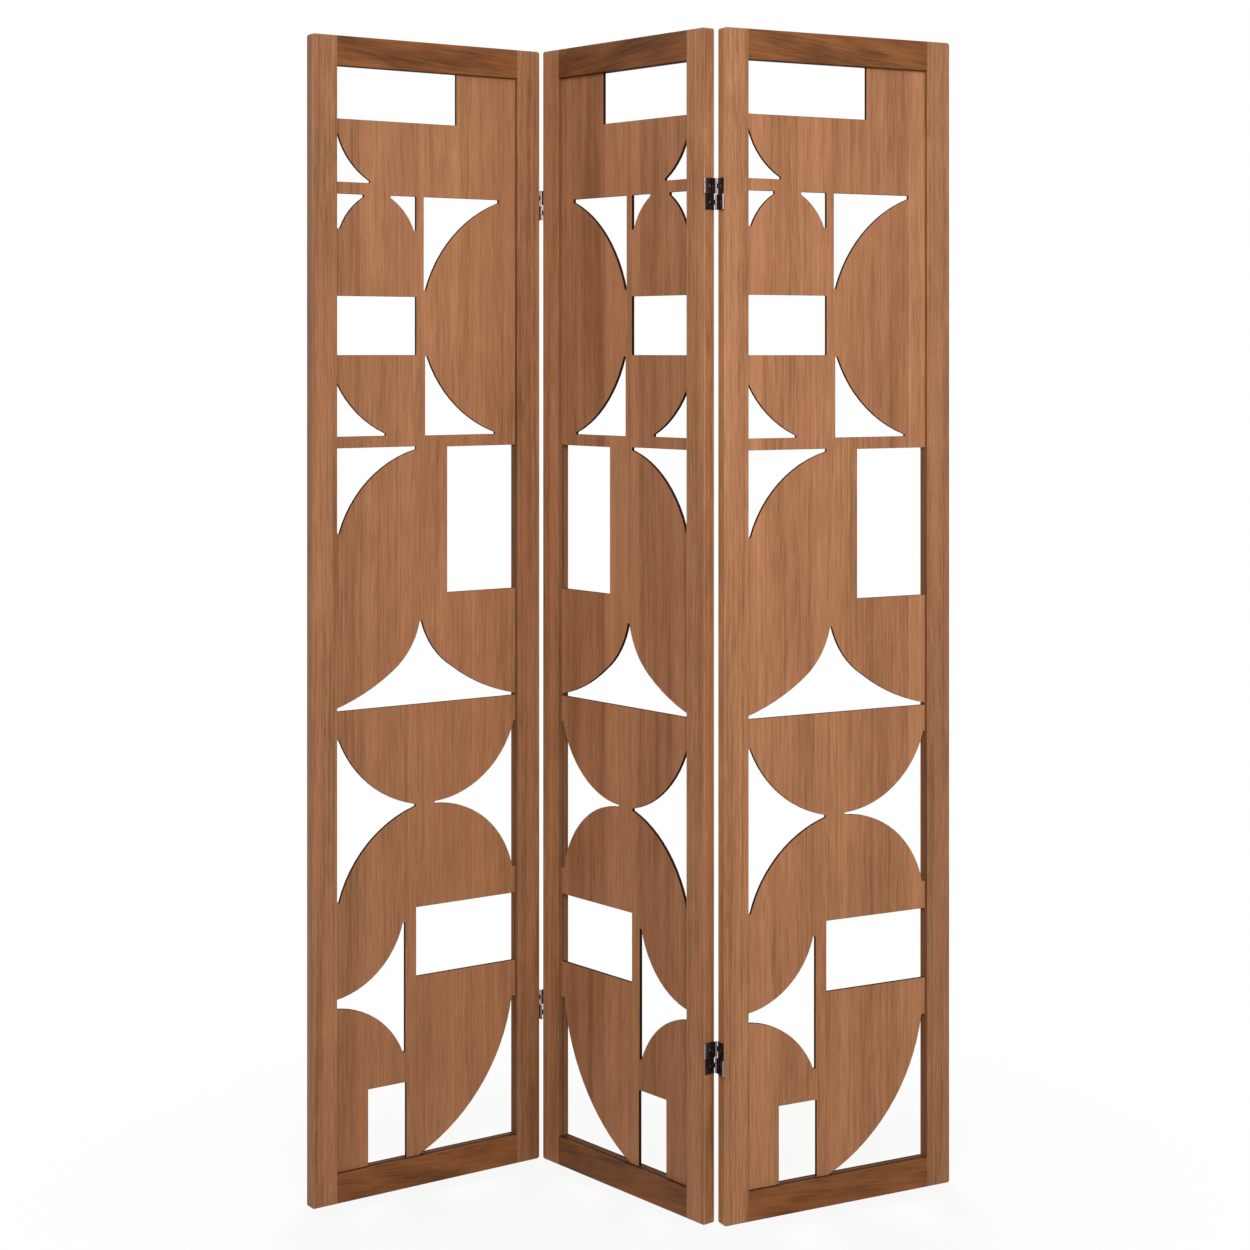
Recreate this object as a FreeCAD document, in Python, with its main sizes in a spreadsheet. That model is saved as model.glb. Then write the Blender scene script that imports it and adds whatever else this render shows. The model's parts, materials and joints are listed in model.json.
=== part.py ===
"""Three-leaf folding screen: framed wooden panels with a pierced insert, on two-way hinges.

Model frame: millimetres, +Z up, floor at Z = 0, the viewer in front looks along +Y.
The zigzag is centred on the origin in plan. Seen from the front the panels are left, middle
and right. All three panels are alike; the middle one stands turned round, back to front.
"""
import FreeCAD, Part
import math
import os
from types import SimpleNamespace

import Sketcher

Vector = FreeCAD.Vector
Rotation = FreeCAD.Rotation
Placement = FreeCAD.Placement

doc = FreeCAD.newDocument("FoldingScreen")

# Driving dimensions, all lengths in millimetres and angles in degrees
SIZES = [
    ("screen_height", 1800, "height of each panel"),
    ("panel_width", 406, "width of each panel over its stiles"),
    ("panel_thickness", 20, "thickness of the frame"),
    ("stile_width", 42, "face width of the two uprights"),
    ("rail_height", 46, "face height of the top and bottom rail"),
    ("corner_radius", 4, "rounding of the four outer corners, seen from the front"),
    ("arris_radius", 1.5, "easing of the long outer edges"),
    ("groove_depth", 9, "groove in the frame that holds the insert"),
    ("insert_thickness", 5, "pierced insert"),
    ("insert_play", 1, "room left at the bottom of the groove"),
    ("pierce_reach", 3, "how far a cut-out is drawn on into the groove, where the margin ends it"),
    ("cutter_radius", 1, "corner left by the cutter in the cut-outs"),
    ("dowel_diameter", 8, "beech dowel at a frame corner"),
    ("dowel_length", 36, "half in the rail, half in the stile"),
    ("dowel_edge", 10, "outer dowel to the outer edge of the rail"),
    ("dowel_spacing", 17, "outer dowel to inner dowel"),
    ("dowel_play", 1, "hole deeper than the dowel at each end"),
    ("hinge_height", 48, "height of a hinge"),
    ("hinge_end_distance", 250, "centre of a hinge to the end of the panel"),
    ("panel_gap", 5, "gap between two panels that stand flat"),
    ("axis_offset", 1.2, "hinge axis outside the face of the panels"),
    ("plate_thickness", 1, "hinge leaves and link plates"),
    ("plate_inset", 1.2, "edge of a plate to the face of the panel"),
    ("knuckle_diameter", 3.8, "outside of a hinge knuckle"),
    ("pin_diameter", 2, "hinge pin"),
    ("pin_clearance", 0.05, "radial play of the turning knuckle on its pin"),
    ("knuckle_gap", 0.3, "play between two knuckles"),
    ("link_gap", 1, "play between the upper and the lower link plate"),
    ("access_hole_diameter", 8, "hole in a link plate that lets the driver reach the screw"),
    ("screw_diameter", 3, "hinge screw"),
    ("screw_length", 18, "hinge screw, head included"),
    ("screw_point_length", 4, "tapered end of the screw"),
    ("recess_width", 0.7, "slots of the cross recess in the screw head"),
    ("recess_length", 2.8, "span of the cross recess"),
    ("recess_depth", 0.6, "depth of the cross recess"),
    ("left_angle", 36, "left panel to the X axis"),
    ("middle_angle", 49, "middle panel to the X axis, the other way"),
    ("right_angle", 29, "right panel to the X axis"),
    ("cut_overrun", 1, "how far a cutting shape stands out of the face that it cuts"),
]

# Places in the insert that lie in the groove, out of sight
GROOVE_LEFT, GROOVE_RIGHT = "groove left", "groove right"
GROOVE_BOTTOM, GROOVE_TOP = "groove bottom", "groove top"

# Cut-outs of the insert. Each is a closed outline, counter-clockwise. A corner is its place
# across and up, as shares of the opening between the stiles and between the rails. A third
# number makes the side that starts there an arc that bulges into the cut-out: its radius, as
# a share of the opening's width.
CUTOUT_SHARES = {
    "top_window": [(GROOVE_LEFT, 0.9523), (0.663, 0.9523), (0.663, GROOVE_TOP),
                   (GROOVE_LEFT, GROOVE_TOP)],
    "upper_sail": [(GROOVE_LEFT, 0.8952), (0.187, 0.8952), (0.187, 0.8970, 0.380),
                   (0.014, 0.9391), (GROOVE_LEFT, 0.9391)],
    "left_spandrel": [(GROOVE_LEFT, 0.8530), (0.028, 0.8530, 0.305), (0.153, 0.8820),
                      (0.153, 0.8844), (GROOVE_LEFT, 0.8844)],
    "right_spandrel": [(0.439, 0.8530), (0.439, 0.8844), (0.300, 0.8844),
                       (0.300, 0.8822, 0.309), (0.427, 0.8530)],
    "big_spandrel": [(0.481, 0.7980), (0.493, 0.7980, 0.681), (0.905, 0.8816),
                     (0.905, 0.8844), (0.481, 0.8844)],
    "square_window": [(GROOVE_LEFT, 0.7384), (0.439, 0.7384), (0.439, 0.7919),
                      (GROOVE_LEFT, 0.7919)],
    "middle_sail": [(0.489, 0.6639), (0.884, 0.6639), (0.884, 0.6657, 0.631),
                    (0.502, 0.7371), (0.489, 0.7371)],
    "left_sail": [(GROOVE_LEFT, 0.6645), (0.272, 0.6645), (0.272, 0.6665, 0.533),
                  (0.011, 0.7131), (GROOVE_LEFT, 0.7131)],
    "arch_spandrel": [(GROOVE_LEFT, 0.5767), (0.024, 0.5767, 0.591), (0.439, 0.6514),
                      (0.439, 0.6540), (GROOVE_LEFT, 0.6540)],
    "tall_window": [(0.612, 0.5176), (GROOVE_RIGHT, 0.5176), (GROOVE_RIGHT, 0.6532),
                    (0.612, 0.6532)],
    "spire": [(GROOVE_LEFT, 0.4162), (GROOVE_RIGHT, 0.4162), (GROOVE_RIGHT, 0.4180),
              (1.000, 0.4180, 0.898), (0.644, 0.4479, 0.400), (0.470, 0.4930),
              (0.460, 0.4930, 0.394), (0.307, 0.4479, 0.998), (0.000, 0.4183),
              (GROOVE_LEFT, 0.4183)],
    "left_cusp": [(GROOVE_LEFT, 0.2430), (0.023, 0.2430, 0.614), (0.435, 0.3221),
                  (0.435, 0.3240, 0.571), (0.022, 0.3899), (GROOVE_LEFT, 0.3899)],
    "right_cusp": [(0.542, 0.3226, 0.453), (0.984, 0.2541), (GROOVE_RIGHT, 0.2541),
                   (GROOVE_RIGHT, 0.3917), (0.992, 0.3917, 0.493), (0.542, 0.3245)],
    "wide_window": [(0.439, 0.1651), (GROOVE_RIGHT, 0.1651), (GROOVE_RIGHT, 0.2287),
                    (0.439, 0.2287)],
    "low_cusp": [(GROOVE_LEFT, 0.1475), (0.000, 0.1475, 0.421), (0.366, 0.0975),
                 (0.378, 0.0975), (0.378, 0.2163), (0.366, 0.2163, 0.434), (0.000, 0.1554),
                 (GROOVE_LEFT, 0.1554)],
    "low_sail": [(0.455, GROOVE_BOTTOM), (GROOVE_RIGHT, GROOVE_BOTTOM),
                 (GROOVE_RIGHT, 0.1311), (0.981, 0.1311, 0.906), (0.455, 0.0000)],
    "door": [(0.177, GROOVE_BOTTOM), (0.384, GROOVE_BOTTOM), (0.384, 0.0693),
             (0.177, 0.0693)],
}

sheet = doc.addObject("Spreadsheet::Sheet", "Sizes")
for row, (alias, value, note) in enumerate(SIZES, start=1):
    sheet.set("A%d" % row, alias)
    sheet.set("B%d" % row, str(value))
    sheet.set("C%d" % row, note)
    sheet.setAlias("B%d" % row, alias)
doc.recompute()


class Size:
    """A length worked out from named sizes: its value, and the formula that a property follows."""

    def __init__(self, value, text):
        self.value = value
        self.text = text

    def combine(self, sign, other, value):
        other_text = other.text if isinstance(other, Size) else repr(other)
        return Size(value, "(%s %s %s)" % (self.text, sign, other_text))

    def __add__(self, other):
        return self.combine("+", other, self.value + number(other))

    def __sub__(self, other):
        return self.combine("-", other, self.value - number(other))

    def __mul__(self, factor):
        return self.combine("*", factor, self.value * factor)

    def __truediv__(self, divisor):
        return self.combine("/", divisor, self.value / divisor)

    def __rmul__(self, factor):
        return self * factor

    def __neg__(self):
        return self * -1


def number(length):
    return length.value if isinstance(length, Size) else length


def plan_point(x, y):
    return Vector(number(x), number(y), 0)


def bind(obj, prop, length):
    """Lets a property follow a size. A plain zero is only set."""
    if isinstance(length, Size):
        obj.setExpression(prop, length.text)


sizes = SimpleNamespace(**{alias: Size(float(sheet.get(alias)), "Sizes." + alias)
                           for alias, value, note in SIZES})

# Lengths that several pieces share
sight_width = sizes.panel_width - 2 * sizes.stile_width
sight_height = sizes.screen_height - 2 * sizes.rail_height
middle_depth = sizes.panel_thickness / 2
groove_front = (sizes.panel_thickness - sizes.insert_thickness) / 2
left_joint = sizes.stile_width
right_joint = sizes.panel_width - sizes.stile_width
dowel_heights = [sizes.dowel_edge, sizes.dowel_edge + sizes.dowel_spacing,
                 sizes.screen_height - sizes.dowel_edge,
                 sizes.screen_height - sizes.dowel_edge - sizes.dowel_spacing]
hinge_heights = {"lower": sizes.hinge_end_distance,
                 "upper": sizes.screen_height - sizes.hinge_end_distance}
link_height = (sizes.hinge_height - sizes.link_gap) / 2
link_bottom = sizes.link_gap / 2
link_pitch = link_height + sizes.link_gap
screw_offset = link_bottom + link_height / 2
knuckle_height = (link_height - 2 * sizes.knuckle_gap) / 3
knuckle_pitch = knuckle_height + sizes.knuckle_gap
edge_left_of_gap = -(sizes.panel_gap / 2)
front_axis = -sizes.axis_offset
back_axis = sizes.panel_thickness + sizes.axis_offset

X_AXIS, Y_AXIS, Z_AXIS = Vector(1, 0, 0), Vector(0, 1, 0), Vector(0, 0, 1)


def place(obj, corner):
    obj.Placement.Base = Vector(*[number(length) for length in corner])
    for axis, length in zip("xyz", corner):
        bind(obj, ".Placement.Base." + axis, length)


def block(name, lengths, corner):
    solid = doc.addObject("Part::Box", name)
    for prop, length in zip(("Length", "Width", "Height"), lengths):
        bind(solid, prop, length)
    place(solid, corner)
    return solid


def rod(name, diameter, length, start, direction=X_AXIS):
    solid = doc.addObject("Part::Cylinder", name)
    bind(solid, "Radius", diameter / 2)
    bind(solid, "Height", length)
    solid.Placement.Rotation = Rotation(Z_AXIS, direction)
    place(solid, start)
    return solid


def taper(name, start_diameter, end_diameter, length, start, direction=X_AXIS):
    solid = doc.addObject("Part::Cone", name)
    solid.Radius1, solid.Radius2 = number(start_diameter) / 2, number(end_diameter) / 2
    for prop, diameter in (("Radius1", start_diameter), ("Radius2", end_diameter)):
        bind(solid, prop, diameter / 2)
    bind(solid, "Height", length)
    solid.Placement.Rotation = Rotation(Z_AXIS, direction)
    place(solid, start)
    return solid


def group(name, members):
    together = doc.addObject("Part::Compound", name)
    together.Links = members
    return together


def fuse(name, members):
    joined = doc.addObject("Part::MultiFuse", name)
    joined.Shapes = members
    return joined


def cut(name, base, tools):
    result = doc.addObject("Part::Cut", name)
    result.Base = base
    result.Tool = group(name + "_tools", tools)
    return result


def at(value, target):
    return abs(value - number(target)) < 1e-6


def round_edges(name, base, radius, wanted):
    """Rounds each edge whose list of end points the test wanted accepts."""
    doc.recompute()
    chosen = [count for count, edge in enumerate(base.Shape.Edges, start=1)
              if wanted([vertex.Point for vertex in edge.Vertexes])]
    rounded = doc.addObject("Part::Fillet", name)
    rounded.Base = base
    rounded.Edges = [(count, radius.value, radius.value) for count in chosen]
    return rounded


# Frame of a panel: two stiles, two rails and the dowels between them. X runs across from the
# outer left edge, Y from the face into the thickness and Z up from the floor.

def dowel_holes(name, joint, heights):
    length = sizes.dowel_length + 2 * sizes.dowel_play
    start = joint - length / 2
    return [rod("%s_dowel_hole_%d" % (name, count), sizes.dowel_diameter, length,
                (start, middle_depth, height))
            for count, height in enumerate(heights, start=1)]


def screw_holes(name, side):
    depth = sizes.screw_length - sizes.plate_thickness
    start = 0 if side == "left" else sizes.panel_width - depth
    return [rod("%s_screw_hole_%s_%d" % (name, where, count), sizes.screw_diameter, depth,
                (start, middle_depth, height + offset))
            for where, height in hinge_heights.items()
            for count, offset in enumerate((-screw_offset, screw_offset), start=1)]


def stile(name, side, hinged):
    left = side == "left"
    outer = 0 if left else sizes.panel_width
    inner = left_joint if left else right_joint
    blank = block(name + "_blank",
                  (sizes.stile_width, sizes.panel_thickness, sizes.screen_height),
                  (0 if left else right_joint, 0, 0))

    def outer_corner(points):
        return all(at(point.x, outer) for point in points) and any(
            all(at(point.z, end) for point in points) for end in (0, sizes.screen_height))

    def outer_arris(points):
        on_face = any(all(at(point.y, face) for point in points)
                      for face in (0, sizes.panel_thickness))
        return on_face and not all(at(point.x, inner) for point in points)

    shaped = round_edges(name + "_shaped", blank, sizes.corner_radius, outer_corner)
    eased = round_edges(name + "_eased", shaped, sizes.arris_radius, outer_arris)
    groove_start = inner - sizes.groove_depth if left else inner - sizes.cut_overrun
    groove = block(name + "_groove",
                   (sizes.groove_depth + sizes.cut_overrun, sizes.insert_thickness,
                    sight_height + 2 * sizes.groove_depth),
                   (groove_start, groove_front, sizes.rail_height - sizes.groove_depth))
    tools = [groove] + dowel_holes(name, inner, dowel_heights)
    if hinged == "hinged":
        tools += screw_holes(name, side)
    return [cut(name, eased, tools)]


def rail(name, level):
    low = level == "bottom"
    outer = 0 if low else sizes.screen_height
    inner = sizes.rail_height if low else sizes.screen_height - sizes.rail_height
    blank = block(name + "_blank", (sight_width, sizes.panel_thickness, sizes.rail_height),
                  (left_joint, 0, 0 if low else inner))

    def outer_arris(points):
        return all(at(point.z, outer) for point in points) and any(
            all(at(point.y, face) for point in points) for face in (0, sizes.panel_thickness))

    eased = round_edges(name + "_eased", blank, sizes.arris_radius, outer_arris)
    groove = block(name + "_groove",
                   (sight_width + 2 * sizes.cut_overrun, sizes.insert_thickness,
                    sizes.groove_depth + sizes.cut_overrun),
                   (left_joint - sizes.cut_overrun, groove_front,
                    inner - sizes.groove_depth if low else inner - sizes.cut_overrun))
    heights = dowel_heights[:2] if low else dowel_heights[2:]
    holes = dowel_holes(name + "_left", left_joint, heights)
    holes += dowel_holes(name + "_right", right_joint, heights)
    return [cut(name, eased, [groove] + holes)]


def dowels(name):
    return [rod("%s_%s_%d" % (name, end, count), sizes.dowel_diameter, sizes.dowel_length,
                (joint - sizes.dowel_length / 2, middle_depth, height))
            for end, joint in (("left", left_joint), ("right", right_joint))
            for count, height in enumerate(dowel_heights, start=1)]


# Insert: a thin board in the groove, pierced with the cut-outs

def across(place_share):
    """Distance from the outer left edge of the panel to a place in the insert."""
    if place_share == GROOVE_LEFT:
        return left_joint - sizes.pierce_reach
    if place_share == GROOVE_RIGHT:
        return right_joint + sizes.pierce_reach
    return left_joint + place_share * sight_width


def upward(place_share):
    """Height of a place in the insert above the floor."""
    if place_share == GROOVE_BOTTOM:
        return sizes.rail_height - sizes.pierce_reach
    if place_share == GROOVE_TOP:
        return sizes.screen_height - sizes.rail_height + sizes.pierce_reach
    return sizes.rail_height + place_share * sight_height


def clockwise_arc(start, end, radius):
    """An arc of under a half circle from start to end that turns clockwise."""
    chord = end - start
    rise = math.sqrt(radius * radius - chord.Length * chord.Length / 4)
    centre = (start + end) / 2 + Vector(chord.y, -chord.x, 0).normalize() * rise
    angles = [math.atan2(point.y - centre.y, point.x - centre.x) for point in (end, start)]
    return Part.ArcOfCircle(Part.Circle(centre, Z_AXIS, radius), *angles)


def draw(sketch, outlines):
    """Draws closed outlines, each through corners of (across, up, radius of the arc or None)."""
    geometry, constraints, held = [], [], []

    def hold(length, *words):
        held.append((len(constraints), length))
        constraints.append(Sketcher.Constraint(*words, number(length)))

    for corners in outlines:
        points = [plan_point(x, y) for x, y, radius in corners]
        first_side = len(geometry)
        ends = []
        for count, (x, y, radius) in enumerate(corners):
            start, end = points[count], points[(count + 1) % len(points)]
            if radius is None:
                ends.append((first_side + count, 1, 2))
                geometry.append(Part.LineSegment(start, end))
            else:
                ends.append((first_side + count, 2, 1))
                geometry.append(clockwise_arc(start, end, radius.value))
                hold(radius, "Radius", first_side + count)
        for count, (x, y, radius) in enumerate(corners):
            side, first = ends[count][:2]
            before, last = ends[count - 1][0], ends[count - 1][2]
            constraints.append(Sketcher.Constraint("Coincident", before, last, side, first))
            hold(x, "DistanceX", -1, 1, side, first)
            hold(y, "DistanceY", -1, 1, side, first)
    sketch.addGeometry(geometry)
    sketch.addConstraint(constraints)
    for index, length in held:
        bind(sketch, "Constraints[%d]" % index, length)


def face_sketch(body, name):
    """A sketch of the body that looks along Y: across is X, up is Z."""
    sketch = body.newObject("Sketcher::SketchObject", name)
    plane = [feature for feature in body.Origin.OriginFeatures if feature.Role == "XZ_Plane"]
    sketch.AttachmentSupport = [(plane[0], "")]
    sketch.MapMode = "FlatFace"
    return sketch


def rectangle(left, right, low, high):
    """The corners of an upright rectangle, as draw takes them."""
    return [(left, low, None), (right, low, None), (right, high, None), (left, high, None)]


def insert(name):
    """A board, its cut-outs, and the plain margin in the groove that ends them at the frame."""
    body = doc.addObject("PartDesign::Body", name)
    reach = sizes.groove_depth - sizes.insert_play
    board = face_sketch(body, name + "_board")
    left, right = left_joint - reach, right_joint + reach
    low, high = sizes.rail_height - reach, sizes.screen_height - sizes.rail_height + reach
    draw(board, [rectangle(left, right, low, high)])
    pad = body.newObject("PartDesign::Pad", name + "_pad")
    pad.Profile = board
    pad.SideType = "Symmetric"
    bind(pad, "Length", sizes.insert_thickness)
    pierced = face_sketch(body, name + "_cutouts")
    draw(pierced, [[(across(corner[0]), upward(corner[1]),
                     corner[2] * sight_width if len(corner) == 3 else None)
                    for corner in corners] for corners in CUTOUT_SHARES.values()])
    pocket = body.newObject("PartDesign::Pocket", name + "_pierced")
    pocket.Profile = pierced
    pocket.SideType = "Symmetric"
    pocket.Type = "ThroughAll"
    doc.recompute()
    fillet = body.newObject("PartDesign::Fillet", name + "_cutter_corners")
    fillet.Base = (pocket, cutter_corners(pocket.Shape))
    bind(fillet, "Radius", sizes.cutter_radius)
    ring = face_sketch(body, name + "_ring")
    draw(ring, [rectangle(left, right, low, high),
                rectangle(left_joint, right_joint, sizes.rail_height,
                          sizes.screen_height - sizes.rail_height)])
    margin = body.newObject("PartDesign::Pad", name + "_margin")
    margin.Profile = ring
    margin.SideType = "Symmetric"
    bind(margin, "Length", sizes.insert_thickness)
    return [body]


def cutter_corners(shape):
    """Names of the edges across the thickness where a straight side in view turns a corner."""
    corners = []
    for count, edge in enumerate(shape.Edges, start=1):
        points = [vertex.Point for vertex in edge.Vertexes]
        if len(points) != 2 or not at(points[0].x, points[1].x) or not at(points[0].z, points[1].z):
            continue
        in_view = (left_joint.value < points[0].x < right_joint.value
                   and sizes.rail_height.value < points[0].z
                   < sizes.rail_height.value + sight_height.value)
        faces = shape.ancestorsOfType(edge, Part.Face)
        if in_view and any(isinstance(face.Surface, Part.Plane) for face in faces):
            corners.append("Edge%d" % count)
    return corners


# Two-way hinge. X runs across the gap from the middle between the two panels, Y from their
# faces into the thickness and Z up from the middle of the hinge. Each half, upper and lower,
# has a link plate between the leaves, with a knuckle joint at the front and one at the back.
# A leaf has one knuckle in each half, at the front of one and at the back of the other. The
# right leaf is the left one turned round about the middle of the gap.

def knuckle_place(half, step):
    """Height of the lower end of a knuckle: steps 0 and 2 are the link's, 1 is the leaf's."""
    start = link_bottom if half == "upper" else link_bottom - link_pitch
    return start + step * knuckle_pitch


def knuckle(name, axis, start):
    return rod(name, sizes.knuckle_diameter, knuckle_height, (0, axis, start), Z_AXIS)


def tongue(name, side_x, axis, start):
    """The strip of a plate that reaches out to a knuckle."""
    reach = sizes.axis_offset + sizes.plate_inset
    first_y = front_axis if axis is front_axis else sizes.panel_thickness - sizes.plate_inset
    return block(name, (sizes.plate_thickness, reach, knuckle_height), (side_x, first_y, start))


def plate(name, side_x, height, start):
    return block(name, (sizes.plate_thickness,
                        sizes.panel_thickness - 2 * sizes.plate_inset, height),
                 (side_x, sizes.plate_inset, start))


def leaf(name):
    members = [plate(name + "_plate", edge_left_of_gap, sizes.hinge_height,
                     -(sizes.hinge_height / 2))]
    holes = []
    for half, axis in (("upper", front_axis), ("lower", back_axis)):
        start = knuckle_place(half, 1)
        part_name = "%s_%s" % (name, half)
        members.append(knuckle(part_name + "_knuckle", axis, start))
        members.append(tongue(part_name + "_tongue", edge_left_of_gap, axis, start))
        holes.append(rod(part_name + "_pin_hole",
                         sizes.pin_diameter + 2 * sizes.pin_clearance,
                         knuckle_height + 2 * sizes.cut_overrun,
                         (0, axis, start - sizes.cut_overrun), Z_AXIS))
    for count, offset in enumerate((-screw_offset, screw_offset), start=1):
        holes.append(taper("%s_countersink_%d" % (name, count), sizes.screw_diameter,
                           sizes.screw_diameter + 2 * sizes.plate_thickness,
                           sizes.plate_thickness, (edge_left_of_gap, middle_depth, offset)))
    return [cut(name, fuse(name + "_body", members), holes)]


def link(name, half):
    side_x = -(sizes.plate_thickness / 2)
    members = [plate(name + "_plate", side_x, link_height, knuckle_place(half, 0))]
    holes = []
    for where, axis in (("front", front_axis), ("back", back_axis)):
        for step in (0, 2):
            part_name = "%s_%s_%d" % (name, where, step)
            start = knuckle_place(half, step)
            members.append(knuckle(part_name + "_knuckle", axis, start))
            members.append(tongue(part_name + "_tongue", side_x, axis, start))
        holes.append(rod("%s_%s_pin_hole" % (name, where), sizes.pin_diameter,
                         link_height + 2 * sizes.cut_overrun,
                         (0, axis, knuckle_place(half, 0) - sizes.cut_overrun), Z_AXIS))
    holes.append(rod(name + "_access_hole", sizes.access_hole_diameter,
                     sizes.plate_thickness + 2 * sizes.cut_overrun,
                     (side_x - sizes.cut_overrun, middle_depth,
                      knuckle_place(half, 0) + link_height / 2)))
    return [cut(name, fuse(name + "_body", members), holes)]


def pins(name, half):
    return [rod("%s_%s" % (name, where), sizes.pin_diameter, link_height,
                (0, axis, knuckle_place(half, 0)), Z_AXIS)
            for where, axis in (("front", front_axis), ("back", back_axis))]


def screws(name):
    members = []
    shank_length = sizes.screw_length - sizes.plate_thickness - sizes.screw_point_length
    face_x = edge_left_of_gap + sizes.plate_thickness
    for count, offset in enumerate((-screw_offset, screw_offset), start=1):
        part_name = "%s_%d" % (name, count)
        solid = fuse(part_name + "_body", [
            taper(part_name + "_head", sizes.screw_diameter,
                  sizes.screw_diameter + 2 * sizes.plate_thickness, sizes.plate_thickness,
                  (edge_left_of_gap, middle_depth, offset)),
            rod(part_name + "_shank", sizes.screw_diameter, shank_length,
                (edge_left_of_gap - shank_length, middle_depth, offset)),
            taper(part_name + "_point", 0 * sizes.screw_diameter, sizes.screw_diameter,
                  sizes.screw_point_length,
                  (edge_left_of_gap - shank_length - sizes.screw_point_length, middle_depth,
                   offset))])
        depth = sizes.recess_depth + sizes.cut_overrun
        slots = [block("%s_slot_%s" % (part_name, way), (depth, width, height),
                       (face_x - sizes.recess_depth, middle_depth - width / 2,
                        offset - height / 2))
                 for way, width, height in (
                     ("across", sizes.recess_length, sizes.recess_width),
                     ("upright", sizes.recess_width, sizes.recess_length))]
        members.append(cut(part_name, solid, slots))
    return members


# Where the panels stand. Each panel's place in the model is its outer left corner, as seen
# from the front, and its turn about Z.

def turned(point, degrees):
    return Rotation(Z_AXIS, degrees).multVec(point)


def zigzag():
    """Panel places worked out from the fold axes: 1 in front of the left gap, 1 behind the right."""
    turns = {"left": sizes.left_angle.value, "middle": -sizes.middle_angle.value,
             "right": sizes.right_angle.value}
    before, beyond = edge_left_of_gap, sizes.panel_width - edge_left_of_gap
    left_fold = turned(plan_point(before, front_axis), turns["middle"])
    right_fold = turned(plan_point(beyond, back_axis), turns["middle"])
    corners = {"left": left_fold - turned(plan_point(beyond, front_axis), turns["left"]),
               "middle": Vector(),
               "right": right_fold - turned(plan_point(before, back_axis), turns["right"])}
    plan = [corners[side] + turned(plan_point(x, y), turns[side]) for side in turns
            for x in (0, sizes.panel_width) for y in (0, sizes.panel_thickness)]
    middle = Vector(sum(pick(point.x for point in plan) for pick in (min, max)) / 2,
                    sum(pick(point.y for point in plan) for pick in (min, max)) / 2, 0)
    return {side: Placement(corners[side] - middle, Rotation(Z_AXIS, turns[side]))
            for side in turns}


panel_places = zigzag()
turned_round = Placement(plan_point(sizes.panel_width, sizes.panel_thickness),
                         Rotation(Z_AXIS, 180))
wood_places = dict(panel_places, middle=panel_places["middle"] * turned_round)
right_leaf_turn = Placement(plan_point(0, sizes.panel_thickness), Rotation(Z_AXIS, 180))
hinged_stiles = {("left", "right"), ("middle", "left"), ("middle", "right"), ("right", "left")}

# Each kind of piece is drawn once, and each node is a copy of it with a place of its own
drawn = {}
pieces = {}


def add_piece(name, piece_place, maker, *kind):
    key = "_".join((maker.__name__,) + kind)
    if key not in drawn:
        drawn[key] = maker("drawn_" + key, *kind)
    copy = group(name, drawn[key])
    copy.Label = name
    pieces[name] = (copy, piece_place)


for panel, panel_place in wood_places.items():
    for side in ("left", "right"):
        # Seen from the front, the turned middle panel has its own left stile on the right
        own_side = side if panel != "middle" else {"left": "right", "right": "left"}[side]
        kind = "hinged" if (panel, side) in hinged_stiles else "plain"
        add_piece("%s_panel_%s_stile" % (panel, side), panel_place, stile, own_side, kind)
    for level in ("top", "bottom"):
        add_piece("%s_panel_%s_rail" % (panel, level), panel_place, rail, level)
    add_piece("%s_panel_dowels" % panel, panel_place, dowels)
    centred = Placement(Vector(0, middle_depth.value, 0), Rotation())
    add_piece("%s_panel_pierced_insert" % panel, panel_place * centred, insert)

for fold, left_panel, right_panel in (("left", "left", "middle"), ("right", "middle", "right")):
    for level, height in hinge_heights.items():
        hinge = "%s_fold_%s_hinge" % (fold, level)
        at_left_panel = panel_places[left_panel] * Placement(
            Vector((sizes.panel_width - edge_left_of_gap).value, 0, height.value), Rotation())
        at_right_panel = panel_places[right_panel] * Placement(
            Vector(edge_left_of_gap.value, 0, height.value), Rotation())
        turned_leaf = at_right_panel * right_leaf_turn
        add_piece(hinge + "_left_leaf", at_left_panel, leaf)
        add_piece(hinge + "_right_leaf", turned_leaf, leaf)
        add_piece(hinge + "_left_screws", at_left_panel, screws)
        add_piece(hinge + "_right_screws", turned_leaf, screws)
        # The left fold turns on its front axis and the right fold on its back axis, so in
        # both the upper link stays with the middle panel and the lower link leaves it
        link_places = ((at_right_panel, at_left_panel) if fold == "left"
                       else (at_left_panel, at_right_panel))
        for half, link_place in zip(("upper", "lower"), link_places):
            add_piece("%s_%s_link" % (hinge, half), link_place, link, half)
            add_piece("%s_%s_pins" % (hinge, half), link_place, pins, half)

doc.recompute()
for piece, piece_place in pieces.values():
    piece.Placement = piece_place
doc.recompute()

faults = [obj.Name for obj in doc.Objects if "Invalid" in obj.State or "Error" in obj.State]
for name, (piece, piece_place) in pieces.items():
    if piece.Shape.isNull() or not piece.Shape.isValid() or piece.Shape.Volume <= 0:
        faults.append(name)
if faults:
    raise RuntimeError("these objects failed: %s" % ", ".join(faults))

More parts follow.
